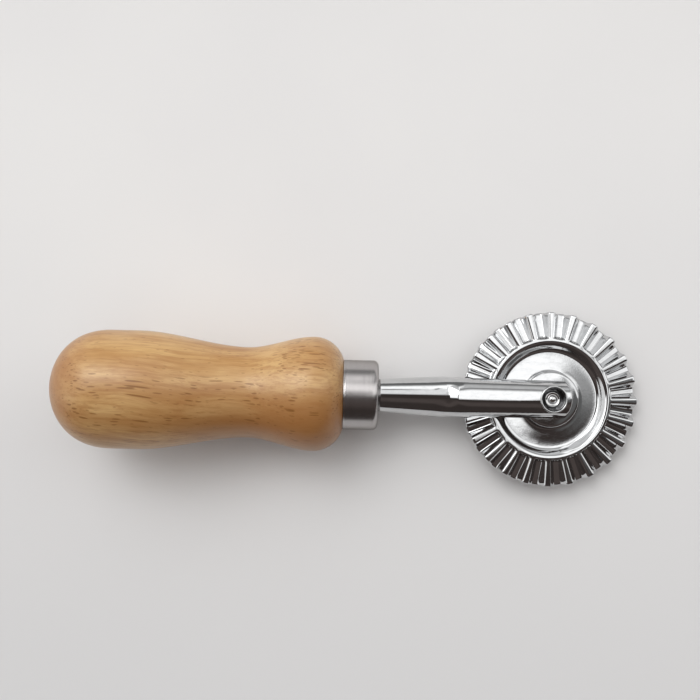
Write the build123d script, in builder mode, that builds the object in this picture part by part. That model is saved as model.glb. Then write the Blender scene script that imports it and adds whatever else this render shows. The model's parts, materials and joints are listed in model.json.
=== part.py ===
from build123d import *
import os
from math import asin, atan2, cos, hypot, pi, sin, sqrt, tan

# Ravioli cutter wheel: a turned wooden handle, a drawn ferrule, a cast fork and a fluted wheel on a
# peened pin. The tool lies on a table as it comes to rest there: on the front bulge of the handle and on
# the lower axle boss of the fork, with the nose down. X runs from the butt of the handle to the wheel and
# Z is up. The origin is on the table, under the middle of the tool. Places along the tool are measured
# from its butt. Millimetres.

# Handle, a lathe-turned hardwood grip, from the butt to the front
belly_radius = 17.2
butt_flat_radius = 3.6
butt_length = 16.8
butt_lean = pi / 15
butt_swell = 8.0
belly_swell = 9.5
belly_land = 8.0
taper_length = 31.5
waist_radius = 13.1
swell_length = 19.0
bulge_radius = 16.55
front_rounding = 8.85

# Ferrule, a drawn steel cup over the tenon of the handle
ferrule_radius = 10.1
ferrule_length = 10.1
ferrule_wall = 0.8
ferrule_front_rounding = 1.5
ferrule_rear_rounding = 0.25
tenon_fit = 0.05
tenon_end_gap = 0.3

# Fork, one casting: ribbed tang, tapered neck and slotted yoke with two half-round arms
tang_length = 44.0
tang_radius = 3.1
tang_tip_chamfer = 1.0
tang_rib_rise = 0.4
tang_rib_width = 1.6
tang_rib_count = 6
tang_fit = 0.05
tang_end_gap = 3.0
drill_point_angle = pi / 6
neck_length = 19.5
neck_rear_radius = 4.75
neck_front_radius = 6.0
yoke_root = 3.6
flare_length = 2.2
slot_corner_radius = 3.0
arm_thickness = 3.2
arm_tip_width = 10.3
arm_beyond_axle = 5.4
arm_tip_arc_radius = 13.0
arm_edge_rounding = 0.8

# Dished axle boss on the outside of each arm
dish_radius = 3.45
boss_lip = 0.45
boss_rise = 0.3
dish_depth = 2.0

# Axle pin, peened over in both dishes
pin_radius = 2.0
pin_seat_fit = 0.02
pin_head_height = 0.3
pin_crown_height = 0.45

# Wheel, one casting with a corrugated rim
wheel_radius = 25.2
hub_radius = 8.2
hub_width = 6.9
hub_edge_rounding = 0.9
web_thickness = 1.6
recess_wall_run = 2.5
ring_land = 0.6
ring_outer_radius = 17.2
ring_thickness = 4.4
rim_edge_thickness = 4.2
rim_corner_rounding = 0.5
bore_clearance = 0.06
hub_side_clearance = 0.3
rim_slot_clearance = 1.2

# Flutes of the rim, cut from both faces and half a pitch apart
flute_count = 24
flute_setback = 0.3
crest_width_inner = 1.3
crest_width_outer = 2.1
flute_floor_half_width = 1.0
flute_floor_sag = 0.25
flute_inner_depth = 1.3
flute_wall = 1.4
flute_overrun = 1.0

# Places along the tool
belly_end = butt_length + belly_land
waist = belly_end + taper_length
bulge = waist + swell_length
front_arc_height = bulge_radius - front_rounding
shoulder = bulge + sqrt(front_rounding**2 - (ferrule_radius - front_arc_height) ** 2)
neck_start = shoulder + ferrule_length
tang_start = neck_start - tang_length
flare_start = neck_start + neck_length
slot_root = flare_start + yoke_root
axle_place = slot_root + rim_slot_clearance + wheel_radius
arm_end = axle_place + arm_beyond_axle

# Radii of the boss and of the wheel's recess
boss_radius = dish_radius + boss_lip
ring_inner_radius = ring_outer_radius - ring_land
web_radius = ring_inner_radius - recess_wall_run

# Heights over the flat plane of the tool
slot_half_width = hub_width / 2 + hub_side_clearance
yoke_radius = slot_half_width + arm_thickness
boss_face = yoke_radius + boss_rise
dish_bottom = boss_face - dish_depth

# How the tool comes to rest: on the front rounding of the handle and the edge of the lower boss
support_x = axle_place + boss_radius - bulge
support_z = front_arc_height - boss_face
pitch = atan2(support_z, support_x) + asin(front_rounding / hypot(support_x, support_z))
butt_height = sin(pitch) * (axle_place + boss_radius) + cos(pitch) * boss_face
rear_end = -butt_flat_radius * sin(pitch)
front_end = (axle_place + wheel_radius) * cos(pitch) + rim_edge_thickness / 2 * sin(pitch)
middle = (rear_end + front_end) / 2

# Planes of the tool: its flat plane, its lengthwise section, and the same two through the axle
nose_down = (cos(pitch), 0, -sin(pitch))
face_up = (sin(pitch), 0, cos(pitch))
tool = Plane(origin=(-middle, 0, butt_height), x_dir=nose_down, z_dir=face_up)
tool_section = Plane(origin=tool.origin, x_dir=tool.x_dir, z_dir=-tool.y_dir)
tool_axis = Axis(tool.origin, tool.x_dir)
axle = Plane(origin=tool.from_local_coords((axle_place, 0, 0)), x_dir=nose_down, z_dir=face_up)
axle_section = Plane(origin=axle.origin, x_dir=axle.x_dir, z_dir=-axle.y_dir)
axle_axis = Axis(axle.origin, axle.z_dir)

# Handle
tenon_radius = ferrule_radius - ferrule_wall - tenon_fit
tenon_end = neck_start - ferrule_wall - tenon_end_gap
tang_rib_radius = tang_radius + tang_rib_rise
tang_bore_radius = tang_rib_radius + tang_fit
tang_bore_bottom = tang_start - tang_end_gap

with BuildPart() as handle:
    with BuildSketch(tool_section):
        with BuildLine():
            Line((0, 0), (0, butt_flat_radius))
            Bezier(
                (0, butt_flat_radius),
                (butt_swell * sin(butt_lean), butt_flat_radius + butt_swell * cos(butt_lean)),
                (butt_length - belly_swell, belly_radius),
                (butt_length, belly_radius),
            )
            Line((butt_length, belly_radius), (belly_end, belly_radius))
            Spline((belly_end, belly_radius), (waist, waist_radius), tangents=((1, 0), (1, 0)))
            Spline((waist, waist_radius), (bulge, bulge_radius), tangents=((1, 0), (1, 0)))
            RadiusArc((bulge, bulge_radius), (shoulder, ferrule_radius), front_rounding)
            Polyline(
                (shoulder, ferrule_radius),
                (shoulder, tenon_radius),
                (tenon_end, tenon_radius),
                (tenon_end, tang_bore_radius),
                (tang_bore_bottom, tang_bore_radius),
                (tang_bore_bottom - tang_bore_radius * tan(drill_point_angle), 0),
                (0, 0),
            )
        make_face()
    revolve(axis=tool_axis)
handle.part.label = "handle"

# Ferrule
with BuildPart() as ferrule:
    with BuildSketch(tool_section):
        with BuildLine():
            Polyline(
                (shoulder, ferrule_radius - ferrule_wall),
                (shoulder, ferrule_radius),
                (neck_start, ferrule_radius),
                (neck_start, tang_bore_radius),
                (neck_start - ferrule_wall, tang_bore_radius),
                (neck_start - ferrule_wall, ferrule_radius - ferrule_wall),
                close=True,
            )
        make_face()
    revolve(axis=tool_axis)
    rims = ferrule.edges().filter_by(GeomType.CIRCLE).group_by(SortBy.RADIUS)[-1].sort_by(tool_axis)
    fillet(rims[-1], ferrule_front_rounding)
    fillet(rims[0], ferrule_rear_rounding)
ferrule.part.label = "ferrule"

# Fork. The cone of the flare runs on past the half-round section of the arms, which trims it
rib_pitch = (tenon_end - tang_start) / (tang_rib_count + 1)
flare_slope = (yoke_radius - neck_front_radius) / flare_length
flare_run = 2 * flare_length
flare_top = neck_front_radius + flare_slope * flare_run
tip_sag = arm_tip_arc_radius - sqrt(arm_tip_arc_radius**2 - yoke_radius**2)

with BuildPart() as fork:
    with BuildSketch(tool_section):
        with BuildLine():
            Polyline(
                (flare_start, 0),
                (flare_start, neck_front_radius),
                (flare_start + flare_run, flare_top),
                (arm_end, flare_top),
                (arm_end, 0),
                close=True,
            )
        make_face()
    revolve(axis=tool_axis)
    for place, half_width in ((flare_start, neck_front_radius), (arm_end, arm_tip_width / 2)):
        cross_plane = Plane(tool.from_local_coords((place, 0, 0)), x_dir=tool.y_dir, z_dir=tool.x_dir)
        with BuildSketch(cross_plane):
            with BuildLine():
                ThreePointArc(
                    (-half_width, slot_half_width),
                    (0, yoke_radius),
                    (half_width, slot_half_width),
                )
                Line((half_width, slot_half_width), (half_width, -slot_half_width))
                ThreePointArc(
                    (half_width, -slot_half_width),
                    (0, -yoke_radius),
                    (-half_width, -slot_half_width),
                )
                Line((-half_width, -slot_half_width), (-half_width, slot_half_width))
            make_face()
    loft(ruled=True, mode=Mode.INTERSECT)
    with BuildSketch(tool):
        with BuildLine():
            Polyline(
                (arm_end - tip_sag, yoke_radius),
                (flare_start, yoke_radius),
                (flare_start, -yoke_radius),
                (arm_end - tip_sag, -yoke_radius),
            )
            ThreePointArc(
                (arm_end - tip_sag, -yoke_radius),
                (arm_end, 0),
                (arm_end - tip_sag, yoke_radius),
            )
        make_face()
    extrude(amount=flare_top, both=True, mode=Mode.INTERSECT)
    tip_edges = fork.edges().filter_by(
        lambda edge: tool.to_local_coords(edge.center()).X > axle_place
        and abs(tool.to_local_coords(edge.center()).Z) > slot_half_width
    )
    fillet(tip_edges, arm_edge_rounding)
    with BuildSketch(tool_section):
        with BuildLine():
            Polyline(
                (flare_start, 0),
                (tang_start, 0),
                (tang_start, tang_radius - tang_tip_chamfer),
                (tang_start + tang_tip_chamfer, tang_radius),
                (neck_start, tang_radius),
                (neck_start, neck_rear_radius),
                (flare_start, neck_front_radius),
                close=True,
            )
        make_face()
        for rib in range(tang_rib_count):
            with Locations((tang_start + (rib + 1) * rib_pitch, 0)):
                Rectangle(tang_rib_width, tang_rib_radius, align=(Align.CENTER, Align.MIN))
    revolve(axis=tool_axis)
    with BuildSketch(axle):
        Circle(boss_radius)
    extrude(amount=boss_face, both=True)
    with BuildSketch(tool_section):
        with Locations((slot_root, 0)):
            RectangleRounded(
                2 * (arm_end - slot_root),
                2 * slot_half_width,
                slot_corner_radius,
                align=(Align.MIN, Align.CENTER),
            )
    extrude(amount=yoke_radius, both=True, mode=Mode.SUBTRACT)
    with BuildSketch(axle_section):
        with BuildLine():
            Polyline(
                (0, 0),
                (pin_radius + pin_seat_fit, 0),
                (pin_radius + pin_seat_fit, dish_bottom),
                (dish_radius, boss_face),
                (0, boss_face),
                close=True,
            )
        make_face()
        mirror(about=Plane.XZ)
    revolve(axis=axle_axis, mode=Mode.SUBTRACT)
fork.part.label = "fork"

# Axle pin
dish_slope = (dish_radius - pin_radius - pin_seat_fit) / dish_depth
head_top = dish_bottom + pin_head_height
head_radius = pin_radius + dish_slope * pin_head_height

with BuildPart() as axle_pin:
    with BuildSketch(axle_section):
        with BuildLine():
            Polyline(
                (0, head_top + pin_crown_height),
                (0, 0),
                (pin_radius, 0),
                (pin_radius, dish_bottom),
                (head_radius, head_top),
            )
            TangentArc(
                (0, head_top + pin_crown_height),
                (head_radius, head_top),
                tangent=(1, 0),
            )
        make_face()
        mirror(about=Plane.XZ)
    revolve(axis=axle_axis)
axle_pin.part.label = "axle_pin"

# Wheel
rim_reach = wheel_radius - ring_outer_radius
surface_slope = (rim_edge_thickness - ring_thickness) / 2 / rim_reach
floor_start = ring_thickness / 2 - flute_inner_depth
floor_slope = (flute_wall - rim_edge_thickness / 2 - floor_start) / rim_reach
crest_slope = (crest_width_outer - crest_width_inner) / rim_reach

with BuildPart() as flute:
    for outward in (flute_setback, rim_reach + flute_overrun):
        distance = ring_outer_radius + outward
        surface = ring_thickness / 2 + surface_slope * outward
        floor = floor_start + floor_slope * outward
        floor_side = floor + flute_floor_sag
        half_mouth = pi * distance / flute_count - (crest_width_inner + crest_slope * outward) / 2
        flank_slope = (half_mouth - flute_floor_half_width) / (surface - floor_side)
        half_top = half_mouth + flank_slope * (ring_thickness - surface)
        with BuildSketch(Plane(origin=(distance, 0, 0), x_dir=(0, 1, 0), z_dir=(1, 0, 0))):
            with BuildLine():
                Polyline(
                    (flute_floor_half_width, floor_side),
                    (half_top, ring_thickness),
                    (-half_top, ring_thickness),
                    (-flute_floor_half_width, floor_side),
                )
                ThreePointArc(
                    (-flute_floor_half_width, floor_side),
                    (0, floor),
                    (flute_floor_half_width, floor_side),
                )
            make_face()
    loft(ruled=True)

with BuildPart(axle) as wheel:
    with BuildSketch(axle_section) as half_section:
        with BuildLine():
            Polyline(
                (pin_radius + bore_clearance, 0),
                (pin_radius + bore_clearance, hub_width / 2),
                (hub_radius, hub_width / 2),
                (hub_radius, web_thickness / 2),
                (web_radius, web_thickness / 2),
                (ring_inner_radius, ring_thickness / 2),
                (ring_outer_radius, ring_thickness / 2),
                (wheel_radius, rim_edge_thickness / 2),
                (wheel_radius, 0),
                close=True,
            )
        make_face()
        corners = half_section.vertices()
        fillet(corners.group_by(Axis.X)[-1].sort_by(Axis.Y)[-1], rim_corner_rounding)
        fillet(corners.group_by(Axis.Y)[-1].sort_by(Axis.X)[-1], hub_edge_rounding)
        mirror(about=Plane.XZ)
    revolve(axis=axle_axis)
    with PolarLocations(0, flute_count, start_angle=180 / flute_count):
        add(flute.part, mode=Mode.SUBTRACT)
    with PolarLocations(0, flute_count):
        add(flute.part, rotation=(180, 0, 0), mode=Mode.SUBTRACT)
wheel.part.label = "wheel"

os.makedirs("parts", exist_ok=True)
for piece in (handle, ferrule, fork, axle_pin, wheel):
    export_step(piece.part, f"parts/{piece.part.label}.step")
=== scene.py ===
import json
from math import atan2, cos, degrees, pi, radians, sin, sqrt

import bpy
from mathutils import Matrix, Vector


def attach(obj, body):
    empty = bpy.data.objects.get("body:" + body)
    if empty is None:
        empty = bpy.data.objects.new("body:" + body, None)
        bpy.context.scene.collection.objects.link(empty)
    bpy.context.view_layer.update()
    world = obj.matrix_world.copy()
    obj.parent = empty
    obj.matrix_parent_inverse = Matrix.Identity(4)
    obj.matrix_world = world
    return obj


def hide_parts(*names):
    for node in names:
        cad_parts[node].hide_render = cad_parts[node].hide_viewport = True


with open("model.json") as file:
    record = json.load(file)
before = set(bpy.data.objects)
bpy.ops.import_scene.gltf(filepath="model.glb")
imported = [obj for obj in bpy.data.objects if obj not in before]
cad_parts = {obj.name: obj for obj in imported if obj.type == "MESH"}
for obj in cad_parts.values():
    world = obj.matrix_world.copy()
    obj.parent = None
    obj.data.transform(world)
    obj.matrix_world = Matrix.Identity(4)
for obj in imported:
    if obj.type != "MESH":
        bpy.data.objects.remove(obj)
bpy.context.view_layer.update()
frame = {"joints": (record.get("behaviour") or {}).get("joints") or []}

# Handle: a lathe-turned hardwood grip, sanded and dipped in a clear satin lacquer. The tang of the fork is
# glued into a bore in its front end, and the ferrule is pressed over the tenon ahead of its front shoulder.
mm = 0.001
wheel_spin = frame["joints"][0]
axle_point = Vector(wheel_spin["pos_m"])
tool_up = Vector(wheel_spin["axis"]).normalized()
tool_along = Vector((tool_up.z, 0, -tool_up.x))
tool_pitch = atan2(tool_up.x, tool_up.z)
axle_place = 143.4184
butt_point = axle_point - tool_along * axle_place * mm
tool_frame = Matrix.Translation(butt_point) @ Matrix.Rotation(tool_pitch, 4, "Y") @ Matrix.Scale(mm, 4)

belly_radius = 17.2
butt_flat_radius = 3.6
butt_length = 16.8
butt_lean = pi / 15
butt_swell = 8.0
belly_swell = 9.5
belly_land = 8.0
taper_length = 31.5
waist_radius = 13.1
swell_length = 19.0
bulge_radius = 16.55
front_rounding = 8.85
ferrule_radius = 10.1
tenon_radius = 9.25
tenon_length = 9.0
handle_sides = 160

belly_end = butt_length + belly_land
waist = belly_end + taper_length
bulge = waist + swell_length
front_arc_height = bulge_radius - front_rounding
shoulder = bulge + sqrt(front_rounding**2 - (ferrule_radius - front_arc_height) ** 2)


def ease(start, end, place):
    """Rises from 0 at start to 1 at end, level at both."""
    share = min(max((place - start) / (end - start), 0), 1)
    return share * share * (3 - 2 * share)


def round_stretch(centre, radius, first_angle, last_angle, steps):
    """Points of an arc in a lathe outline, in places along and out from the axis. Angles in degrees."""
    points = []
    for step in range(steps + 1):
        angle = radians(first_angle + (last_angle - first_angle) * step / steps)
        points.append((centre[0] + radius * cos(angle), centre[1] + radius * sin(angle)))
    return points


def curved_stretch(first, first_pull, last_pull, last, steps):
    """Points of a free curve in a lathe outline, drawn by its two ends and a pull at each."""
    points = []
    for step in range(steps + 1):
        late = step / steps
        early = 1 - late
        weights = (early**3, 3 * early**2 * late, 3 * early * late**2, late**3)
        ends = (first, first_pull, last_pull, last)
        points.append(tuple(sum(weight * end[way] for weight, end in zip(weights, ends)) for way in (0, 1)))
    return points


def eased_stretch(first, last, steps):
    """Points of a smooth swell between two radii of a lathe outline."""
    points = []
    for step in range(1, steps + 1):
        place = first[0] + (last[0] - first[0]) * step / steps
        points.append((place, first[1] + (last[1] - first[1]) * ease(first[0], last[0], place)))
    return points


def turned(name, outline, sides, centre=(0, 0, 0), axis=(1, 0, 0), outward=(0, 0, 1)):
    """A turned piece, in millimetres: one point drawn along the outline and spun round the axis."""
    centre, axis, outward = Vector(centre), Vector(axis), Vector(outward)
    places = [centre + axis * along + outward * out for along, out in outline]
    bpy.ops.object.select_all(action="DESELECT")
    bpy.ops.mesh.primitive_plane_add(size=1)
    piece = bpy.context.object
    piece.name = name
    bpy.ops.object.mode_set(mode="EDIT")
    bpy.ops.mesh.select_mode(type="VERT")
    bpy.ops.mesh.select_all(action="SELECT")
    bpy.ops.mesh.merge(type="CENTER")
    bpy.ops.transform.translate(value=places[0])
    for before, after in zip(places, places[1:]):
        bpy.ops.mesh.extrude_region_move(TRANSFORM_OT_translate={"value": after - before})
    bpy.ops.mesh.select_all(action="SELECT")
    bpy.ops.mesh.spin(steps=sides, angle=2 * pi, center=centre, axis=axis)
    bpy.ops.mesh.select_all(action="SELECT")
    bpy.ops.mesh.remove_doubles(threshold=0.001)
    bpy.ops.mesh.normals_make_consistent(inside=False)
    bpy.ops.object.mode_set(mode="OBJECT")
    bpy.ops.object.shade_smooth()
    return piece


def lay_on_table(piece, body, slot, *nodes):
    """Puts a piece modelled along the tool into the frame, where it takes the place of its CAD nodes."""
    piece.data.transform(tool_frame)
    piece.data.name = piece.name
    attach(piece, body)
    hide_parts(*nodes)


front_angle = degrees(atan2(ferrule_radius - front_arc_height, shoulder - bulge))
handle_outline = [(0, 0), (0, butt_flat_radius / 2)]
handle_outline += curved_stretch(
    (0, butt_flat_radius),
    (butt_swell * sin(butt_lean), butt_flat_radius + butt_swell * cos(butt_lean)),
    (butt_length - belly_swell, belly_radius),
    (butt_length, belly_radius),
    32,
)
handle_outline += [(butt_length + belly_land * step / 6, belly_radius) for step in range(1, 7)]
handle_outline += eased_stretch((belly_end, belly_radius), (waist, waist_radius), 30)
handle_outline += eased_stretch((waist, waist_radius), (bulge, bulge_radius), 24)
handle_outline += round_stretch((bulge, front_arc_height), front_rounding, 88, front_angle, 20)
handle_outline += [
    (shoulder, tenon_radius),
    (shoulder + tenon_length, tenon_radius),
    (shoulder + tenon_length, 0),
]
handle = turned("handle_wood", handle_outline, handle_sides)


def node(tree, kind, inputs=None, **settings):
    """Adds a shader node. An input is a value to set or a socket to link from."""
    made = tree.nodes.new(kind)
    for name, value in settings.items():
        setattr(made, name, value)
    for name, value in (inputs or {}).items():
        if isinstance(value, bpy.types.NodeSocket):
            tree.links.new(value, made.inputs[name])
        else:
            made.inputs[name].default_value = value
    return made


def math(tree, operation, first, second=0.0, third=0.0):
    """The result of one step of arithmetic."""
    return node(tree, "ShaderNodeMath", {0: first, 1: second, 2: third}, operation=operation).outputs[0]


def math_vector(tree, operation, first, second=(0, 0, 0)):
    """The result of one step of vector arithmetic."""
    step = node(tree, "ShaderNodeVectorMath", {0: first, 1: second}, operation=operation)
    return step.outputs["Value" if operation in ("LENGTH", "DOT_PRODUCT") else "Vector"]


def between(tree, value, low, high, low_result=0.0, high_result=1.0):
    """Maps a value smoothly from one range to another."""
    inputs = {"Value": value, "From Min": low, "From Max": high, "To Min": low_result, "To Max": high_result}
    return node(tree, "ShaderNodeMapRange", inputs, interpolation_type="SMOOTHSTEP").outputs["Result"]


def blend_colour(tree, share, first, second, blend_type="MIX"):
    """One colour laid over another."""
    mixer = node(tree, "ShaderNodeMix", {"Factor": share}, data_type="RGBA", blend_type=blend_type)
    for socket, colour in ((mixer.inputs[6], first), (mixer.inputs[7], second)):
        if isinstance(colour, bpy.types.NodeSocket):
            tree.links.new(colour, socket)
        else:
            socket.default_value = (*colour, 1)
    return mixer.outputs[2]


def stretched(tree, vector, scale):
    """Coordinates drawn out by a different amount each way."""
    return math_vector(tree, "MULTIPLY", vector, scale)


def noise(tree, vector, scale, detail=2.0, roughness=0.5):
    """A soft random value over the surface, with its middle at one half."""
    inputs = {"Vector": vector, "Scale": scale, "Detail": detail, "Roughness": roughness}
    return node(tree, "ShaderNodeTexNoise", inputs).outputs["Fac"]


def along_tool(tree, tilt=(0, 0, 0)):
    """Coordinates in millimetres from the butt of the handle, with X along the tool."""
    to_tool = tool_frame.inverted()
    inputs = {
        "Vector": node(tree, "ShaderNodeTexCoord").outputs["Object"],
        "Location": to_tool.translation,
        "Rotation": (0, -tool_pitch, 0),
        "Scale": (1 / mm, 1 / mm, 1 / mm),
    }
    straight = node(tree, "ShaderNodeMapping", inputs).outputs[0]
    return node(tree, "ShaderNodeMapping", {"Vector": straight, "Rotation": tilt}).outputs[0]


def pores(tree, grain, cell, radius, share):
    """Cut vessels of the wood, thin and drawn out along the grain. A share of the cells hold one."""
    inputs = {"Vector": stretched(tree, grain, (1 / cell[0], 1 / cell[1], 1 / cell[1])), "Scale": 1.0}
    cells = node(tree, "ShaderNodeTexVoronoi", inputs)
    width = radius / cell[1]
    core = between(tree, cells.outputs["Distance"], width, width * 0.6)
    chance = node(tree, "ShaderNodeSeparateColor", {0: cells.outputs["Color"]}).outputs[0]
    return math(tree, "MULTIPLY", core, between(tree, chance, 1 - share, 1 - share + 0.25))


wood_pale = (0.65, 0.43, 0.2)
wood_tan = (0.49, 0.272, 0.102)
wood_red = (0.35, 0.15, 0.046)
pore_brown = (0.23, 0.095, 0.022)
grain_tilt = (radians(8), radians(-5), radians(3))
ring_centre = (0, -70, -95)
ring_spacing = 7.5
sway_reach = 5.0
butt_tint_depth = 17.0
near_side_shade_slope = -0.07

lacquered_wood = bpy.data.materials.new("lacquered_wood")
lacquered_wood.use_nodes = True
wood = lacquered_wood.node_tree
straight = along_tool(wood)
grain = along_tool(wood, grain_tilt)
sway = node(wood, "ShaderNodeTexNoise", {"Vector": stretched(wood, grain, (0.03, 0.06, 0.06)), "Scale": 1.0})
sway_mm = stretched(wood, sway.outputs["Color"], (0, sway_reach, sway_reach))
grain = math_vector(wood, "ADD", grain, sway_mm)
from_heart = stretched(wood, math_vector(wood, "SUBTRACT", grain, ring_centre), (0.04, 1, 1))
heart_distance = math_vector(wood, "LENGTH", from_heart)
ring_phase = math(wood, "MULTIPLY", heart_distance, 2 * pi / ring_spacing)
rings = math(wood, "MULTIPLY_ADD", math(wood, "SINE", ring_phase), 0.5, 0.5)
clouds = noise(wood, stretched(wood, grain, (0.05, 0.16, 0.16)), 1.0, 3.0)
fibres = noise(wood, stretched(wood, grain, (0.05, 0.9, 0.9)), 1.0, 5.0, 0.65)
fine_fibres = noise(wood, stretched(wood, grain, (0.2, 4.5, 4.5)), 1.0, 3.0, 0.6)
in_band = between(wood, rings, 0.05, 0.6, 0.15, 1.0)
long_pores = math(wood, "MULTIPLY", pores(wood, grain, (15.0, 1.05), 0.31, 0.7), in_band)
short_pores = math(wood, "MULTIPLY", pores(wood, grain, (5.5, 0.85), 0.26, 0.7), in_band)
specks = pores(wood, grain, (2.4, 0.6), 0.17, 0.4)
from_butt, across_tool = node(wood, "ShaderNodeSeparateXYZ", {0: straight}).outputs[:2]
# The wood turns darker and redder over the first millimetres from the butt.
redder_near_butt = between(wood, from_butt, butt_tint_depth, 0.0, 0.0, 0.8)
# Painted shade: the near side of the handle, away from the lamps, turns darker and redder from the middle to
# the front.
near_side_shade_bound = math(wood, "MULTIPLY_ADD", from_butt, near_side_shade_slope, across_tool)
near_side_painted_shade = between(wood, near_side_shade_bound, 0.5, -13.5, 0.0, 0.9)
near_side_painted_shade = math(wood, "MULTIPLY", near_side_painted_shade, between(wood, from_butt, 15.0, 70.0))
colour = blend_colour(wood, between(wood, clouds, 0.3, 0.7), wood_tan, wood_pale)
for streaks, low, high, share in (
    (rings, 0.5, 1.0, 0.3),
    (fibres, 0.42, 0.66, 0.5),
    (fine_fibres, 0.4, 0.7, 0.2),
):
    colour = blend_colour(wood, between(wood, streaks, low, high, 0.0, share), colour, wood_red)
# The darkening at the butt and the painted shade on the near side both blend towards wood_red.
colour = blend_colour(wood, math(wood, "MAXIMUM", redder_near_butt, near_side_painted_shade), colour, wood_red)
for vessels, share in ((specks, 0.45), (short_pores, 0.7), (long_pores, 0.8)):
    colour = blend_colour(wood, math(wood, "MULTIPLY", vessels, share), colour, pore_brown)
short_pits = math(wood, "MAXIMUM", short_pores, math(wood, "MULTIPLY", specks, 0.4))
pits = math(wood, "MAXIMUM", long_pores, short_pits)
relief = math(wood, "MULTIPLY_ADD", fibres, 0.15, math(wood, "MULTIPLY", pits, -1.0))
wood_bump = node(wood, "ShaderNodeBump", {"Height": relief, "Strength": 0.25, "Distance": 0.00006})
lacquer = wood.nodes["Principled BSDF"]
wood.links.new(colour, lacquer.inputs["Base Color"])
wood.links.new(between(wood, clouds, 0.3, 0.7, 0.46, 0.38), lacquer.inputs["Roughness"])
wood.links.new(wood_bump.outputs["Normal"], lacquer.inputs["Normal"])
lacquer.inputs["Coat Weight"].default_value = 0.5
lacquer.inputs["Specular IOR Level"].default_value = 0.4
lacquer.inputs["Coat Roughness"].default_value = 0.28
lacquer.inputs["Coat Tint"].default_value = (1.0, 0.93, 0.8, 1)
handle.data.materials.append(lacquered_wood)
lay_on_table(handle, "grip", "lacquered_wood", "handle")

# Ferrule: a cup drawn from steel sheet, with a beaded rim at the wood and a rounded front edge. It is
# linished to a satin finish as it turns, so fine marks run round it, and it is pressed over the tenon.
ferrule_length = 10.1
ferrule_front_rounding = 1.5
bead_width = 0.4
bead_groove = 0.03
groove_width = 0.2
groove_slope = 0.05
barrel_spacing = 0.7
ferrule_wall = 0.8
neck_hole_radius = 3.55
ferrule_sides = 160

neck_start = shoulder + ferrule_length
bead_end = shoulder + bead_width
ferrule_outline = [(shoulder, tenon_radius), (shoulder, ferrule_radius - bead_width / 2)]
ferrule_outline += round_stretch(
    (shoulder + bead_width / 2, ferrule_radius - bead_width / 2), bead_width / 2, 180, 90, 8
)
ferrule_outline += [
    (bead_end, ferrule_radius),
    (bead_end + groove_slope, ferrule_radius - bead_groove),
    (bead_end + groove_width - groove_slope, ferrule_radius - bead_groove),
    (bead_end + groove_width, ferrule_radius),
    (bead_end + groove_width + 2 * groove_slope, ferrule_radius),
]
barrel_start = bead_end + 2 * groove_width
ferrule_outline += [(barrel_start + step * barrel_spacing, ferrule_radius) for step in range(1, 11)]
front_corner = (neck_start - ferrule_front_rounding, ferrule_radius - ferrule_front_rounding)
ferrule_outline += round_stretch(front_corner, ferrule_front_rounding, 90, 0, 14)
ferrule_outline += [
    (neck_start, neck_hole_radius + 1.0),
    (neck_start, neck_hole_radius),
    (neck_start - ferrule_wall, neck_hole_radius),
    (neck_start - ferrule_wall, tenon_radius),
    (shoulder, tenon_radius),
]
ferrule = turned("ferrule_cup", ferrule_outline, ferrule_sides)

steel_grey = (0.52, 0.5, 0.495)
steel_dark = (0.46, 0.44, 0.435)
satin_steel = bpy.data.materials.new("satin_steel")
satin_steel.use_nodes = True
steel = satin_steel.node_tree
round_ferrule = along_tool(steel)
marks = noise(steel, stretched(steel, round_ferrule, (9.0, 0.05, 0.05)), 1.0, 4.0, 0.7)
long_marks = noise(steel, stretched(steel, round_ferrule, (2.2, 0.12, 0.12)), 1.0, 2.0)
steel_bump = node(steel, "ShaderNodeBump", {"Height": marks, "Strength": 0.04, "Distance": 0.00002})
satin = steel.nodes["Principled BSDF"]
satin.inputs["Metallic"].default_value = 1.0
satin.inputs["Specular Tint"].default_value = (0.55, 0.54, 0.53, 1)
steel_colour = blend_colour(steel, between(steel, marks, 0.35, 0.7), steel_grey, steel_dark)
steel.links.new(steel_colour, satin.inputs["Base Color"])
steel.links.new(between(steel, long_marks, 0.3, 0.7, 0.21, 0.27), satin.inputs["Roughness"])
steel.links.new(steel_bump.outputs["Normal"], satin.inputs["Normal"])
ferrule.data.materials.append(satin_steel)
lay_on_table(ferrule, "grip", "satin_steel", "ferrule")

# Fork: one zinc casting, polished and chrome plated. A tapered round neck flares into a yoke, which is
# slotted into two half-round arms. Each arm has a raised round boss with a dish, where the end of the axle
# pin is peened over.
neck_length = 19.5
neck_rear_radius = 4.75
neck_front_radius = 6.0
neck_rear_rounding = 0.7
yoke_root = 3.6
flare_length = 2.2
flare_lag = 0.8
flare_softness = 0.7
flare_edge_softness = 0.05
flank_run = 11.0
flank_lag = 1.4
crest_side = 0.12
flank_side = 0.6
slot_half_width = 3.75
slot_corner_radius = 3.0
arm_thickness = 3.2
arm_fullness = 2.8
arm_root_half_width = 5.62
arm_tip_half_width = 5.35
arm_beyond_axle = 5.4
arm_tip_arc_radius = 13.0
arm_edge_rounding = 0.8
boss_radius = 3.9
boss_face = 7.25
boss_edge_rounding = 0.3
dish_lip_radius = 3.35
dish_lip_rounding = 0.25
dish_bottom = 4.9
dish_floor_radius = 2.2
dish_steps = 8
pin_radius = 2.0
pin_hole_radius = 2.02
boss_sides = 72

flare_start = neck_start + neck_length
slot_root = flare_start + yoke_root
yoke_radius = slot_half_width + arm_thickness
arm_end = axle_place + arm_beyond_axle
neck_slope = (neck_front_radius - neck_rear_radius) / neck_length
flare_slope = (yoke_radius - neck_front_radius) / flare_length


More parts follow.
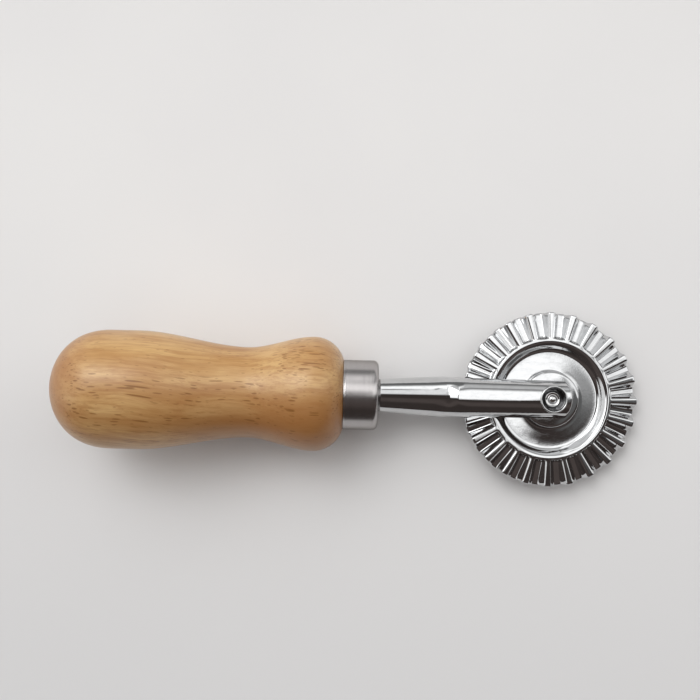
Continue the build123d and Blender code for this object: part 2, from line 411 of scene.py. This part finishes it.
def pressed_sheet(name, rows, columns, place):
    """A grid whose points are each put in place by a rule, as a die presses a sheet."""
    bpy.ops.object.select_all(action="DESELECT")
    bpy.ops.mesh.primitive_grid_add(x_subdivisions=columns - 1, y_subdivisions=rows - 1, size=1)
    sheet = bpy.context.object
    sheet.name = name
    for number, vertex in enumerate(sheet.data.vertices):
        vertex.co = place(number // columns, number % columns)
    return sheet


def soft_rise(past_bend, softness):
    """Zero up to a bend and the distance past it after that, with the bend rounded off."""
    return max(past_bend, 0) + max(softness - abs(past_bend), 0) ** 2 / (4 * softness)


def arm_half_width(along):
    """Half the width of the arms, which narrow a little towards their tips."""
    share = max(along - slot_root, 0) / (arm_end - slot_root)
    return arm_root_half_width + (arm_tip_half_width - arm_root_half_width) * share


def arm_reach(along, lean):
    """How far the rounded outside of the arms lies from the tool's axis, at an angle from upright."""
    half_width = arm_half_width(along)
    low, high = 0.0, 2 * yoke_radius
    for halving in range(40):
        reach = (low + high) / 2
        across = reach * abs(sin(lean)) / half_width
        surface = slot_half_width + arm_thickness * (1 - min(across, 1) ** arm_fullness)
        outside = across > 1 or reach * abs(cos(lean)) > surface
        low, high = (low, reach) if outside else (reach, high)
    return low


def casting_reach(along, lean):
    """How far the outside of the casting lies from the axis. Along the crest the neck steps up to the
    arms in a short flare, and down the flanks it runs over into them smoothly."""
    arm = arm_reach(along, lean)
    neck = neck_rear_radius + neck_slope * (along - neck_start)
    flare = neck + (flare_slope - neck_slope) * soft_rise(along - flare_start - flare_lag, flare_softness)
    crest = flare - soft_rise(flare - arm, flare_edge_softness)
    round_neck = min(neck, neck_front_radius)
    middle = flare_start + flank_lag
    flank = round_neck + (arm - round_neck) * ease(middle - flank_run / 2, middle + flank_run / 2, along)
    return crest + (flank - crest) * ease(crest_side, flank_side, abs(sin(lean)))


arc_columns = 20
side_columns = 6
rounding_steps = 6
cap_ring = 0.45
tip_start = arm_end - arm_edge_rounding
to_side = [step / arc_columns for step in range(arc_columns)]
to_side += [1 + step / side_columns for step in range(side_columns)]
from_side = [2] + to_side[:0:-1]
columns_round = []
for crest_lean in (0, pi):
    columns_round += [(crest_lean, 1, share) for share in to_side]
    columns_round += [(crest_lean + pi, -1, share) for share in from_side]
columns_round.append((2 * pi, 1, 0))

casting_rows = [(neck_start, 0, 0), (neck_start, cap_ring, 0)]
for step in range(rounding_steps + 1):
    angle = pi / 2 * step / rounding_steps
    back = neck_rear_rounding * (1 - cos(angle))
    casting_rows.append((neck_start + back, 1, neck_rear_rounding * (sin(angle) - 1)))
for first_place, spacing, count in (
    (neck_start + neck_rear_rounding + 1.4, 1.4, 9),
    (flare_start - 4.8, 0.6, 7),
    (flare_start - 0.6, 0.15, 28),
    (flare_start + 3.9, 0.6, 4),
    (flare_start + 6.6, 2.2, 13),
):
    casting_rows += [(first_place + step * spacing, 1, 0) for step in range(count)]
for step in range(rounding_steps + 1):
    angle = pi / 2 * step / rounding_steps
    casting_rows.append((tip_start + arm_edge_rounding * sin(angle), 1, arm_edge_rounding * (cos(angle) - 1)))
casting_rows.append((arm_end, 0, 0))


def casting_point(row, column):
    """A point of the outside of the casting, whose two tips are bowed."""
    along, scale, inset = casting_rows[row]
    crest_lean, way, share = columns_round[column]
    corner = atan2(arm_half_width(along), slot_half_width - 0.05)
    lean = crest_lean + way * (corner * min(share, 1) + (pi / 2 - corner) * max(share - 1, 0))
    out = casting_reach(along, lean) * scale + inset
    across, up = out * sin(lean), out * cos(lean)
    bow = across**2 / (2 * arm_tip_arc_radius) * ease(axle_place - 4, tip_start, along)
    return along - bow, across, up


fork = pressed_sheet("fork_casting", len(casting_rows), len(columns_round), casting_point)
bpy.ops.object.mode_set(mode="EDIT")
bpy.ops.mesh.select_all(action="SELECT")
bpy.ops.mesh.remove_doubles(threshold=0.001)
bpy.ops.mesh.normals_make_consistent(inside=False)
bpy.ops.object.mode_set(mode="OBJECT")


def take(piece):
    """Makes a piece the only one selected, for the next operators to work on."""
    bpy.ops.object.select_all(action="DESELECT")
    piece.select_set(True)
    bpy.context.view_layer.objects.active = piece


def cut_or_join(piece, tool_piece, operation):
    """Cuts one closed piece with another, or joins it on, and uses it up."""
    take(piece)
    step = piece.modifiers.new("casting", "BOOLEAN")
    step.operation = operation
    step.solver = "EXACT"
    step.object = tool_piece
    bpy.ops.object.modifier_apply(modifier="casting")
    bpy.data.objects.remove(tool_piece)


slot_length = arm_end - slot_root + 10
bpy.ops.object.select_all(action="DESELECT")
bpy.ops.mesh.primitive_cube_add(size=1, location=(slot_root + slot_length / 2, 0, 0))
slot_cutter = bpy.context.object
slot_cutter.scale = (slot_length, 4 * yoke_radius, 2 * slot_half_width)
bpy.ops.object.transform_apply(location=True, rotation=True, scale=True)
bpy.ops.object.mode_set(mode="EDIT")
bpy.ops.mesh.select_all(action="DESELECT")
bpy.ops.object.mode_set(mode="OBJECT")
for edge in slot_cutter.data.edges:
    ends = [slot_cutter.data.vertices[end].co for end in edge.vertices]
    edge.select = all(end.x < slot_root + 1 for end in ends) and abs(ends[0].y - ends[1].y) > 1
bpy.ops.object.mode_set(mode="EDIT")
bpy.ops.mesh.select_mode(type="EDGE")
bpy.ops.mesh.bevel(offset=slot_corner_radius, segments=12, affect="EDGES")
bpy.ops.object.mode_set(mode="OBJECT")
cut_or_join(fork, slot_cutter, "DIFFERENCE")

boss_foot = slot_half_width + 0.6
boss_outline = [(boss_foot, 0), (boss_foot, boss_radius)]
boss_outline += round_stretch(
    (boss_face - boss_edge_rounding, boss_radius - boss_edge_rounding), boss_edge_rounding, 90, 0, 6
)
boss_outline += [(boss_face, 0)]
lip_outer_radius = dish_lip_radius + dish_lip_rounding
wall_top = boss_face - dish_lip_rounding
dish_outline = [(boss_face + 1, 0), (boss_face + 1, lip_outer_radius), (boss_face, lip_outer_radius)]
dish_outline += round_stretch((wall_top, lip_outer_radius), dish_lip_rounding, -15, -90, 5)
for step in range(1, dish_steps + 1):
    share = step / dish_steps
    out = dish_lip_radius + (dish_floor_radius - dish_lip_radius) * share**2
    dish_outline.append((wall_top + (dish_bottom - wall_top) * share, out))
dish_outline += [(dish_bottom, pin_hole_radius), (slot_half_width - 1, pin_hole_radius)]
dish_outline += [(slot_half_width - 1, 0)]
for side in (1, -1):
    at_axle = {"centre": (axle_place, 0, 0), "axis": (0, 0, side), "outward": (1, 0, 0)}
    cut_or_join(fork, turned("boss", boss_outline, boss_sides, **at_axle), "UNION")
    cut_or_join(fork, turned("dish", dish_outline, boss_sides, **at_axle), "DIFFERENCE")

take(fork)
bpy.ops.object.mode_set(mode="EDIT")
bpy.ops.mesh.select_all(action="SELECT")
bpy.ops.mesh.remove_doubles(threshold=0.004)
bpy.ops.object.mode_set(mode="OBJECT")
softened = fork.modifiers.new("softened edges", "BEVEL")
softened.width = 0.12
softened.segments = 2
softened.limit_method = "ANGLE"
softened.angle_limit = radians(40)
bpy.ops.object.modifier_apply(modifier="softened edges")
bpy.ops.object.shade_smooth_by_angle(angle=radians(38))
even = fork.modifiers.new("even shading", "WEIGHTED_NORMAL")
even.keep_sharp = True
bpy.ops.object.modifier_apply(modifier="even shading")

chrome_bright = (0.63, 0.635, 0.64)
chrome_dim = (0.56, 0.565, 0.57)
# Painted shade for the hollow of the peened dish.
dish_painted_shade = (0.17, 0.17, 0.175)

polish = bpy.data.node_groups.new("polished_plate", "ShaderNodeTree")
for name, kind in (("Vector", "Vector"), ("Ripple", "Float"), ("Haze", "Float")):
    polish.interface.new_socket(name, in_out="INPUT", socket_type="NodeSocket" + kind)
for name in ("Height", "Roughness", "Tarnish"):
    polish.interface.new_socket(name, in_out="OUTPUT", socket_type="NodeSocketFloat")
given = polish.nodes.new("NodeGroupInput").outputs
result = polish.nodes.new("NodeGroupOutput")
swell = noise(polish, given["Vector"], 0.22, 2.0)
pitting = noise(polish, given["Vector"], 2.6, 3.0, 0.6)
smears = noise(polish, stretched(polish, given["Vector"], (0.35, 0.9, 0.6)), 1.0, 4.0, 0.65)
height = math(polish, "MULTIPLY_ADD", pitting, 0.04, math(polish, "MULTIPLY", swell, given["Ripple"]))
polish.links.new(height, result.inputs["Height"])
rough = math(polish, "MULTIPLY_ADD", between(polish, smears, 0.45, 0.75), given["Haze"], 0.035)
polish.links.new(rough, result.inputs["Roughness"])
polish.links.new(between(polish, smears, 0.35, 0.8), result.inputs["Tarnish"])


def plated(name, bright, dim, colour_in_dish, ripple, haze):
    """Chrome plate with the faint swells of the casting under it and a little haze."""
    material = bpy.data.materials.new(name)
    material.use_nodes = True
    tree = material.node_tree
    places = along_tool(tree)
    finish = node(tree, "ShaderNodeGroup", node_tree=polish)
    tree.links.new(places, finish.inputs["Vector"])
    finish.inputs["Ripple"].default_value = ripple
    finish.inputs["Haze"].default_value = haze
    swells = {"Height": finish.outputs["Height"], "Strength": 0.5, "Distance": 0.00012}
    bump = node(tree, "ShaderNodeBump", swells)
    plate = tree.nodes["Principled BSDF"]
    plate.inputs["Metallic"].default_value = 1.0
    plate_colour = blend_colour(tree, finish.outputs["Tarnish"], bright, dim)
    # Inside the lip of the dish the plate takes the dish colour given: on the fork and wheel casting it is
    # dark painted shade in the hollow, on the pin its plain bright colour.
    from_axle = stretched(tree, math_vector(tree, "SUBTRACT", places, (axle_place, 0, 0)), (1, 1, 0))
    in_dish = between(tree, math_vector(tree, "LENGTH", from_axle), dish_lip_radius, dish_lip_radius - 0.3)
    tree.links.new(blend_colour(tree, in_dish, plate_colour, colour_in_dish), plate.inputs["Base Color"])
    tree.links.new(finish.outputs["Roughness"], plate.inputs["Roughness"])
    tree.links.new(bump.outputs["Normal"], plate.inputs["Normal"])
    return material


chrome_casting = plated("chrome_casting", chrome_bright, chrome_dim, dish_painted_shade, 0.1, 0.04)
fork.data.materials.clear()
fork.data.materials.append(chrome_casting)
lay_on_table(fork, "grip", "chrome_casting", "fork")

# Wheel: one zinc casting, polished and chrome plated, with a thick hub, a thin sunk web, a raised ring and a
# rim corrugated from both faces, whose ridges crimp and cut the dough. It turns freely on the axle pin.
wheel_radius = 25.2
bore_radius = 2.06
hub_radius = 8.2
hub_half_width = 3.45
hub_edge_rounding = 0.9
hub_foot_rounding = 0.6
web_half_thickness = 0.55
web_radius = 13.6
ring_inner_radius = 16.9
wall_bend = 1.3
ring_outer_radius = 17.4
ring_half_thickness = 2.2
rim_half_thickness = 2.1
rim_edge_rounding = 0.4
flute_count = 24
ridge_width_inner = 1.3
ridge_width_outer = 2.1
floor_half_width_inner = 0.85
flank_softness = 0.4
flute_depth_inner = 1.3
flute_depth_outer = 2.8
flute_end_length = 0.55
finger_notch = 0.2
notch_run = 2.5
wall_steps = 20

turned_rows = [(bore_radius, hub_half_width), (4.0, hub_half_width), (5.6, hub_half_width)]
hub_edge = (hub_radius - hub_edge_rounding, hub_half_width - hub_edge_rounding)
turned_rows += round_stretch(hub_edge, hub_edge_rounding, 90, 0, 9)
hub_foot = (hub_radius + hub_foot_rounding, web_half_thickness + hub_foot_rounding)
turned_rows += round_stretch(hub_foot, hub_foot_rounding, 180, 270, 7)
turned_rows += [(10.0, web_half_thickness), (11.5, web_half_thickness)]
wall_run = ring_inner_radius - web_radius
wall_slope = (ring_half_thickness - web_half_thickness) / (wall_run - wall_bend)
for step in range(wall_steps + 1):
    run = wall_run * step / wall_steps
    foot_rise = min(run, wall_bend) ** 2 / (2 * wall_bend) + max(run - wall_bend, 0)
    lip_fall = max(run - wall_run + wall_bend, 0) ** 2 / (2 * wall_bend)
    turned_rows.append((web_radius + run, web_half_thickness + wall_slope * (foot_rise - lip_fall)))
flute_rows = [0, 0.08, 0.17, 0.26, 0.35, 0.44, 0.55, 1.0, 1.8, 2.8, 3.9, 5.0, 6.1, 7.0]
flute_rows = [ring_outer_radius + out for out in flute_rows]
rim_rows = [90, 72, 54, 36, 18, 0]
floor_columns = 2
flank_columns = 9


def flute_columns(radius):
    """Distances across one flute at a radius, each with its share of the flute's depth."""
    outward = (radius - ring_outer_radius) / (wheel_radius - ring_outer_radius)
    half_pitch = pi * radius / flute_count
    half_ridge = (ridge_width_inner + (ridge_width_outer - ridge_width_inner) * outward) / 2
    half_floor = floor_half_width_inner + (ridge_width_outer / 2 - floor_half_width_inner) * outward
    flank_start = half_floor - flank_softness
    flank_end = half_pitch - half_ridge + flank_softness
    across = []
    for first, last, count in (
        (0, flank_start, floor_columns),
        (flank_start, flank_end, flank_columns),
        (flank_end, half_pitch, floor_columns),
    ):
        across += [first + (last - first) * step / count for step in range(count)]
    half = [(place, 1 - ease(flank_start, flank_end, place)) for place in across + [half_pitch]]
    return [(-place, depth) for place, depth in reversed(half[1:])] + half


def wheel_point(row, column):
    """A point of one pitch of the wheel's upper face: a flute with half a ridge on each side."""
    if row < len(turned_rows):
        radius, height = turned_rows[row]
        angle = flute_columns(ring_outer_radius)[column][0] / ring_outer_radius
        return radius * cos(angle), radius * sin(angle), height
    step = row - len(turned_rows)
    if step < len(flute_rows):
        radius, edge_angle = flute_rows[step], pi / 2
    else:
        edge_angle = radians(rim_rows[step - len(flute_rows)])
        radius = wheel_radius - rim_edge_rounding * (1 - cos(edge_angle))
    across, depth_share = flute_columns(radius)[column]
    outward = (radius - ring_outer_radius) / (wheel_radius - ring_outer_radius)
    crest = ring_half_thickness + (rim_half_thickness - ring_half_thickness) * outward
    depth = flute_depth_inner + (flute_depth_outer - flute_depth_inner) * outward
    depth *= ease(ring_outer_radius, ring_outer_radius + flute_end_length, radius)
    height = crest - depth * depth_share - rim_edge_rounding * (1 - sin(edge_angle))
    notch = finger_notch * ease(wheel_radius - notch_run, wheel_radius, radius)
    notch *= 4 * depth_share * (1 - depth_share)
    angle = across / radius
    return (radius - notch) * cos(angle), (radius - notch) * sin(angle), height


columns_in_pitch = len(flute_columns(ring_outer_radius))
rows_in_face = len(turned_rows) + len(flute_rows) + len(rim_rows)
wheel = pressed_sheet("wheel_casting", rows_in_face, columns_in_pitch, wheel_point)
bpy.ops.object.mode_set(mode="EDIT")
bpy.ops.mesh.select_all(action="SELECT")
turn_of_copies = 2 * pi * (flute_count - 1) / flute_count
bpy.ops.mesh.spin(steps=flute_count - 1, dupli=True, angle=turn_of_copies, center=(0, 0, 0), axis=(0, 0, 1))
bpy.ops.mesh.select_all(action="SELECT")
bpy.ops.mesh.remove_doubles(threshold=0.001)
bpy.ops.object.mode_set(mode="OBJECT")
lower_face = wheel.copy()
lower_face.data = wheel.data.copy()
bpy.context.scene.collection.objects.link(lower_face)
lower_face.data.transform(Matrix.Rotation(pi, 4, "X"))
wheel.data.transform(Matrix.Rotation(pi / flute_count, 4, "Z"))
bpy.ops.object.select_all(action="DESELECT")
lower_face.select_set(True)
wheel.select_set(True)
bpy.context.view_layer.objects.active = wheel
bpy.ops.object.join()
for inner, outer in ((0, bore_radius + 0.5), (wheel_radius - 2, wheel_radius + 1)):
    bpy.ops.object.mode_set(mode="EDIT")
    bpy.ops.mesh.select_mode(type="EDGE")
    bpy.ops.mesh.select_all(action="DESELECT")
    bpy.ops.mesh.select_non_manifold()
    bpy.ops.object.mode_set(mode="OBJECT")
    for edge in wheel.data.edges:
        middle = (wheel.data.vertices[edge.vertices[0]].co + wheel.data.vertices[edge.vertices[1]].co) / 2
        edge.select = edge.select and inner < middle.xy.length < outer
    bpy.ops.object.mode_set(mode="EDIT")
    bpy.ops.mesh.bridge_edge_loops()
    bpy.ops.object.mode_set(mode="OBJECT")
bpy.ops.object.mode_set(mode="EDIT")
bpy.ops.mesh.select_all(action="SELECT")
bpy.ops.mesh.normals_make_consistent(inside=False)
bpy.ops.object.mode_set(mode="OBJECT")
bpy.ops.object.shade_smooth()
wheel.data.transform(Matrix.Translation((axle_place, 0, 0)))
wheel.data.materials.append(chrome_casting)
lay_on_table(wheel, "cutting_wheel", "chrome_casting", "wheel")

# Axle pin: a plated steel pin through both arms and the hub. Its two ends are peened over in the dished
# bosses, which leaves a round nub inside a rolled collar and keeps the pin from turning.
collar_radius = 2.14
collar_top = 5.2
nub_radius = 1.2
nub_top = 5.8
nub_steps = 8
pin_sides = 64

pin_half = [(dish_bottom, pin_radius), (dish_bottom + 0.1, collar_radius - 0.04)]
pin_half += round_stretch((collar_top - 0.12, collar_radius - 0.2), 0.2, 70, -20, 6)
pin_half += [(collar_top - 0.05, collar_radius - 0.45), (collar_top - 0.12, nub_radius + 0.2)]
pin_half += [(collar_top - 0.05, nub_radius)]
for step in range(1, nub_steps + 1):
    angle = pi / 2 * step / nub_steps
    pin_half.append((collar_top + (nub_top - collar_top) * sin(angle), nub_radius * cos(angle)))
pin_outline = [(-along, out) for along, out in reversed(pin_half)] + pin_half
axle_pin = turned("axle_pin_peened", pin_outline, pin_sides, (axle_place, 0, 0), (0, 0, 1), (1, 0, 0))
pin_bright = (0.62, 0.62, 0.62)
pin_dim = (0.5, 0.5, 0.5)
plated_pin = plated("plated_pin", pin_bright, pin_dim, pin_bright, 0.2, 0.12)
axle_pin.data.materials.append(plated_pin)
lay_on_table(axle_pin, "grip", "plated_pin", "axle_pin")

# Table: a plain matt white board, wide enough to fill the view from any side, painted with a faint mottle
# and with painted shade that makes it a little greyer on the near side.
table_size = 6.0
table_pale = (0.80, 0.79, 0.78)
table_shade = (0.775, 0.765, 0.76)
table_near_painted_shade = (0.66, 0.655, 0.655)

bpy.ops.object.select_all(action="DESELECT")
bpy.ops.mesh.primitive_plane_add(size=table_size)
table = bpy.context.object
table.name = "table"
white_board = bpy.data.materials.new("white_board")
white_board.use_nodes = True
board = white_board.node_tree
board_place = node(board, "ShaderNodeTexCoord").outputs["Object"]
mottle = noise(board, board_place, 9.0, 3.0)
board_surface = board.nodes["Principled BSDF"]
board_colour = blend_colour(board, between(board, mottle, 0.3, 0.7), table_shade, table_pale)
board_y = node(board, "ShaderNodeSeparateXYZ", {0: board_place}).outputs["Y"]
# Painted shade: the board turns greyer towards the near side.
board_colour = blend_colour(board, between(board, board_y, 0.09, -0.12), board_colour, table_near_painted_shade)
board.links.new(board_colour, board_surface.inputs["Base Color"])
board.links.new(between(board, mottle, 0.3, 0.7, 0.75, 0.65), board_surface.inputs["Roughness"])
board_surface.inputs["Specular IOR Level"].default_value = 0.2
table.data.materials.append(white_board)

# Light: a room with a broad white light panel over the far side, a pale wall on the left, and a dark screen
# on the near side, which gives the plated metal its dark bands. Two soft lamps, one on the near side and one
# on the far side, light the wood and the table, and don't show in the metal.
panel_light = 1.6
neck_light = 1.15
left_light = 0.95
glow_light = 3.0
glow_from = (-0.25, 0.5, 0.83)
right_light = 0.45
far_right_light = 1.33
far_wall_light = 0.7
far_left_light = 0.8
horizon_light = 0.2
bar_light = 0.3
lower_right_light = 0.15
screen_brown = (0.095, 0.077, 0.072)
screen_dark = (0.05, 0.04, 0.037)
background_pale = 0.76

room = bpy.data.worlds.new("studio")
bpy.context.scene.world = room
room.use_nodes = True
sky = room.node_tree
look = node(sky, "ShaderNodeTexCoord").outputs["Generated"]
look = node(sky, "ShaderNodeMapping", {"Vector": look, "Rotation": (0, -tool_pitch, 0)}).outputs[0]
look_x, look_y, look_z = node(sky, "ShaderNodeSeparateXYZ", {0: look}).outputs


def blend(share, first, second):
    """One light level laid over another."""
    inputs = {"Factor": share, "A": first, "B": second}
    return node(sky, "ShaderNodeMix", inputs, data_type="FLOAT").outputs[0]


def window(low, high, value, softness):
    """One inside a range of directions and zero outside it."""
    rise = between(sky, value, low - softness, low + softness)
    fall = between(sky, value, high + softness, high - softness)
    return math(sky, "MULTIPLY", rise, fall)


# Parts of the room, by the direction in which they are seen from the tool.
on_right = between(sky, math(sky, "MULTIPLY_ADD", look_y, -0.5, look_x), 0.228, 0.262)
far_right = between(sky, look_x, 0.295, 0.33)
on_left = between(sky, look_x, -0.64, -0.76)
over_neck = between(sky, look_x, 0.04, 0.0)
not_left = between(sky, look_x, -0.12, -0.095)
past_neck = between(sky, look_x, -0.12, -0.2)
# The lower edge of the panel, above the screen, which is lower and softer on the left.
screen_edge = blend(on_right, blend(on_left, -0.055, -0.43), blend(far_right, -0.003, 0.045))
edge_softness = blend(on_right, blend(on_left, 0.04, 0.12), 0.02)
past_edge = math(sky, "SUBTRACT", look_y, screen_edge)
on_far_side = between(sky, past_edge, math(sky, "MULTIPLY", edge_softness, -1.0), edge_softness)
# The panel: brightest at the upper left, dimmer over the neck, with a dark bar across it towards the far side.
past_bar = math(sky, "SUBTRACT", look_y, blend(over_neck, 0.7, 0.665))
glow_heading = math_vector(sky, "DOT_PRODUCT", look, glow_from)
glow = math(sky, "MULTIPLY", between(sky, glow_heading, 0.86, 0.99, 0.0, glow_light), past_neck)
dimmed = math(sky, "MULTIPLY", window(-0.13, -0.005, look_x, 0.015), between(sky, past_bar, 0.06, -0.06))
panel = math(sky, "ADD", blend(dimmed, panel_light, neck_light), glow)
panel = blend(on_left, panel, left_light)
panel = blend(on_right, panel, blend(far_right, right_light, far_right_light))
far_wall = math(sky, "MULTIPLY", between(sky, look_y, 0.44, 0.62), between(sky, look_x, 0.0, 0.04))
panel = blend(far_wall, panel, far_wall_light)
far_left = math(sky, "MULTIPLY", between(sky, look_y, 0.5, 0.7), past_neck)
panel = blend(far_left, panel, far_left_light)
bar_on_neck = math(sky, "MULTIPLY", between(sky, look_x, 0.0, -0.07), not_left)
bar_share = math(sky, "MAXIMUM", bar_on_neck, between(sky, look_x, 0.02, 0.05))
panel = blend(math(sky, "MULTIPLY", bar_share, window(-0.05, 0.05, past_bar, 0.05)), panel, bar_light)
off_left = between(sky, look_x, -0.6, -0.4)
at_horizon = between(sky, look_z, blend(over_neck, 0.42, 0.55), blend(over_neck, 0.05, 0.26))
panel = blend(math(sky, "MULTIPLY", off_left, at_horizon), panel, horizon_light)
# Over the neck and the arms the panel ends higher, which leaves a dark gap above the screen.
panel_gap = math(sky, "MULTIPLY", window(-0.35, 0.05, look_x, 0.012), between(sky, look_y, 0.28, 0.12))
panel_gap = math(sky, "MULTIPLY", panel_gap, between(sky, look_z, 0.5, 0.6))
panel_share = math(sky, "MULTIPLY", on_far_side, math(sky, "SUBTRACT", 1.0, panel_gap))
lower_right = math(sky, "MULTIPLY", between(sky, look_x, 0.255, 0.29), between(sky, past_edge, -0.16, -0.06))
near_screen = blend_colour(sky, window(-0.65, -0.25, look_y, 0.12), screen_dark, screen_brown)
near_screen = blend_colour(sky, lower_right, near_screen, (lower_right_light,) * 3)
panel_colour = node(sky, "ShaderNodeCombineXYZ", {0: panel, 1: panel, 2: panel}).outputs[0]
room_colour = blend_colour(sky, panel_share, near_screen, panel_colour)
rays = node(sky, "ShaderNodeLightPath").outputs["Is Camera Ray"]
seen_colour = blend_colour(sky, rays, room_colour, (background_pale,) * 3)
sky.links.new(seen_colour, sky.nodes["Background"].inputs["Color"])
sky.nodes["Background"].inputs["Strength"].default_value = 1.0

lamp_power = 1.35
for name, size, place, turn in (
    ("fill", 0.8, (0.1, -0.35, 1.1), (radians(17.7), 0, 0)),
    ("key", 0.5, (-0.22, 0.6, 0.8), (radians(-38.6), 0, radians(20))),
):
    bpy.ops.object.select_all(action="DESELECT")
    bpy.ops.object.light_add(type="AREA", location=place, rotation=turn)
    lamp = bpy.context.object
    lamp.name = name
    lamp.data.size = size
    lamp.data.energy = lamp_power
    lamp.visible_glossy = False
    lamp.visible_camera = False

# Camera: over the tool, square to the wheel, with the far side of the table at the top of the picture. It is
# near enough that the higher pieces look a little larger, and the view is shifted to set the tool lower.
camera_distance = 230
camera_along = 85.85
camera_across = 0.2
camera_roll = radians(1.35)
picture_drop = 44 / 700
sensor_width = 36
view_width = 203.4

bpy.ops.object.camera_add()
camera = bpy.context.object
camera.data.sensor_width = sensor_width
camera.data.lens = sensor_width * camera_distance / view_width
camera.data.shift_y = picture_drop
camera.data.clip_start = 0.01
camera.data.clip_end = 20
camera_place = tool_frame @ Vector((camera_along, camera_across, camera_distance))
tilt = Matrix.Rotation(tool_pitch, 4, "Y") @ Matrix.Rotation(camera_roll, 4, "Z")
camera.matrix_world = Matrix.Translation(camera_place) @ tilt
bpy.context.scene.camera = camera
bpy.context.scene.view_settings.view_transform = "Standard"
